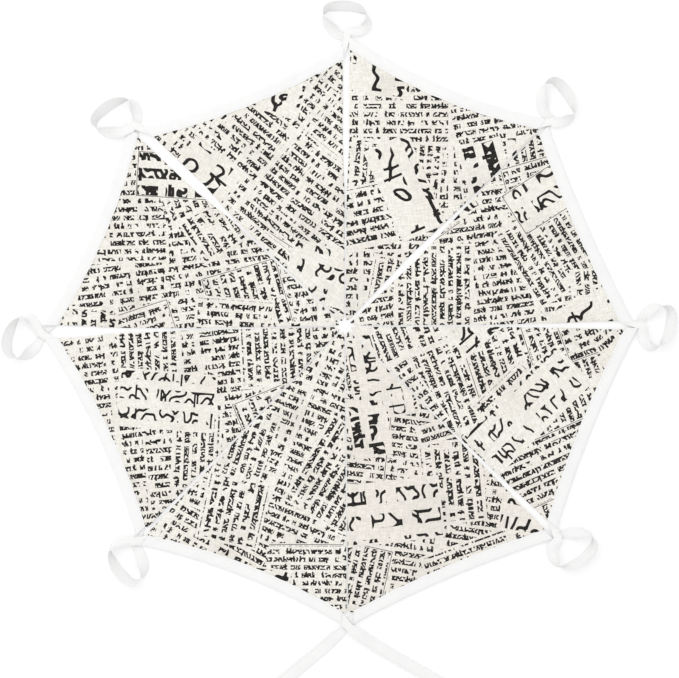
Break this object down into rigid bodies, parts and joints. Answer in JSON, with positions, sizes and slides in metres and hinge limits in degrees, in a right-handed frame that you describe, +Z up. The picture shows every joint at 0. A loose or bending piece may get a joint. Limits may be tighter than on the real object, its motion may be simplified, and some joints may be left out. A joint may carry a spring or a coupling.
{
  "type": "pennant bunting",
  "caption": "Fabric pennant bunting: triangular printed cloth flags bound into a white tape, with a free loop of tape between flags and a tie at each end, laid flat in a ring.",
  "frame": {"origin": "centre of the ring of flags, on the surface that the string lies on", "axes": "+Z up from that surface, out of the flags' printed fronts; +Y from the crossed tie ends to the loop opposite them; +X to the right as the printed fronts are looked at"},
  "size_m": [0.539, 0.6119, 0.0111],
  "materials": {
    "printed_cloth": "matt woven cotton with a dark print",
    "white_tape": "matt woven cotton tape"
  },
  "bodies": {
    "tape_1": {"tape_binding_1": "white_tape", "flag_heading_1": "printed_cloth", "tape_tail_start": "white_tape", "tape_roll_start": "white_tape"},
    "tape_2": {"tape_binding_2": "white_tape", "flag_heading_2": "printed_cloth", "tape_loop_1": "white_tape"},
    "tape_3": {"tape_binding_3": "white_tape", "flag_heading_3": "printed_cloth", "tape_loop_2": "white_tape"},
    "tape_4": {"tape_binding_4": "white_tape", "flag_heading_4": "printed_cloth", "tape_loop_3": "white_tape", "tape_loop_4": "white_tape"},
    "tape_5": {"tape_binding_5": "white_tape", "flag_heading_5": "printed_cloth", "tape_loop_5": "white_tape"},
    "tape_6": {"tape_binding_6": "white_tape", "flag_heading_6": "printed_cloth", "tape_loop_6": "white_tape"},
    "tape_7": {"tape_binding_7": "white_tape", "flag_heading_7": "printed_cloth", "tape_loop_7": "white_tape"},
    "tape_8": {"tape_binding_8": "white_tape", "flag_heading_8": "printed_cloth", "tape_tail_end": "white_tape", "tape_roll_end": "white_tape"},
    "flag_1": {"flag_front_1": "printed_cloth", "flag_back_1": "printed_cloth"},
    "flag_2": {"flag_front_2": "printed_cloth", "flag_back_2": "printed_cloth"},
    "flag_3": {"flag_front_3": "printed_cloth", "flag_back_3": "printed_cloth"},
    "flag_4": {"flag_front_4": "printed_cloth", "flag_back_4": "printed_cloth"},
    "flag_5": {"flag_front_5": "printed_cloth", "flag_back_5": "printed_cloth"},
    "flag_6": {"flag_front_6": "printed_cloth", "flag_back_6": "printed_cloth"},
    "flag_7": {"flag_front_7": "printed_cloth", "flag_back_7": "printed_cloth"},
    "flag_8": {"flag_front_8": "printed_cloth", "flag_back_8": "printed_cloth"}
  },
  "joints": [
    {"name": "corner_4", "type": "hinge", "parent": "tape_4", "child": "tape_5", "pos_m": [0.00116, 0.22735, 0], "axis": [0, 0, -1], "range_deg": [0, 45], "deforming": ["tape_loop_4"]},
    {"name": "corner_5", "type": "hinge", "parent": "tape_5", "child": "tape_6", "pos_m": [-0.16703, 0.15907, 0], "axis": [0, 0, -1], "range_deg": [0, 45], "deforming": ["tape_loop_5"]},
    {"name": "corner_6", "type": "hinge", "parent": "tape_6", "child": "tape_7", "pos_m": [-0.23986, -0.00476, 0], "axis": [0, 0, -1], "range_deg": [0, 45], "deforming": ["tape_loop_6"]},
    {"name": "corner_7", "type": "hinge", "parent": "tape_7", "child": "tape_8", "pos_m": [-0.16511, -0.17066, 0], "axis": [0, 0, -1], "range_deg": [0, 45], "deforming": ["tape_loop_7", "tape_tail_end", "tape_roll_end"]},
    {"name": "corner_3", "type": "hinge", "parent": "tape_4", "child": "tape_3", "pos_m": [0.16145, 0.16218, 0], "axis": [0, 0, 1], "range_deg": [0, 45], "deforming": ["tape_loop_3"]},
    {"name": "corner_2", "type": "hinge", "parent": "tape_3", "child": "tape_2", "pos_m": [0.23215, 0.00086, 0], "axis": [0, 0, 1], "range_deg": [0, 45], "deforming": ["tape_loop_2"]},
    {"name": "corner_1", "type": "hinge", "parent": "tape_2", "child": "tape_1", "pos_m": [0.16769, -0.16576, 0], "axis": [0, 0, 1], "range_deg": [0, 45], "deforming": ["tape_loop_1"]},
    {"name": "flag_lift_1", "type": "hinge", "parent": "tape_1", "child": "flag_1", "pos_m": [0.08049, -0.18947, 0.0022], "axis": [0.9205, 0.3907, 0], "range_deg": [0, 150]},
    {"name": "flag_lift_2", "type": "hinge", "parent": "tape_2", "child": "flag_2", "pos_m": [0.1872, -0.07553, 0.0022], "axis": [0.3746, 0.9272, 0], "range_deg": [0, 150]},
    {"name": "flag_lift_3", "type": "hinge", "parent": "tape_3", "child": "flag_3", "pos_m": [0.18289, 0.07547, 0.0022], "axis": [-0.3987, 0.9171, 0], "range_deg": [0, 150]},
    {"name": "flag_lift_4", "type": "hinge", "parent": "tape_4", "child": "flag_4", "pos_m": [0.0744, 0.18009, 0.0022], "axis": [-0.9205, 0.3907, 0], "range_deg": [0, 150]},
    {"name": "flag_lift_5", "type": "hinge", "parent": "tape_5", "child": "flag_5", "pos_m": [-0.07465, 0.17457, 0.0022], "axis": [-0.9272, -0.3746, 0], "range_deg": [0, 150]},
    {"name": "flag_lift_6", "type": "hinge", "parent": "tape_6", "child": "flag_6", "pos_m": [-0.18939, 0.07285, 0.0022], "axis": [-0.3907, -0.9205, 0], "range_deg": [0, 150]},
    {"name": "flag_lift_7", "type": "hinge", "parent": "tape_7", "child": "flag_7", "pos_m": [-0.18712, -0.08098, 0.0022], "axis": [0.4226, -0.9063, 0], "range_deg": [0, 150]},
    {"name": "flag_lift_8", "type": "hinge", "parent": "tape_8", "child": "flag_8", "pos_m": [-0.07647, -0.18897, 0.0022], "axis": [0.9304, -0.3665, 0], "range_deg": [0, 150]}
  ],
  "couplings": [
    {"joint": "corner_5", "follows": "corner_4", "ratio": 1},
    {"joint": "corner_6", "follows": "corner_4", "ratio": 1},
    {"joint": "corner_7", "follows": "corner_4", "ratio": 1},
    {"joint": "corner_3", "follows": "corner_4", "ratio": 1},
    {"joint": "corner_2", "follows": "corner_4", "ratio": 1},
    {"joint": "corner_1", "follows": "corner_4", "ratio": 1}
  ]
}
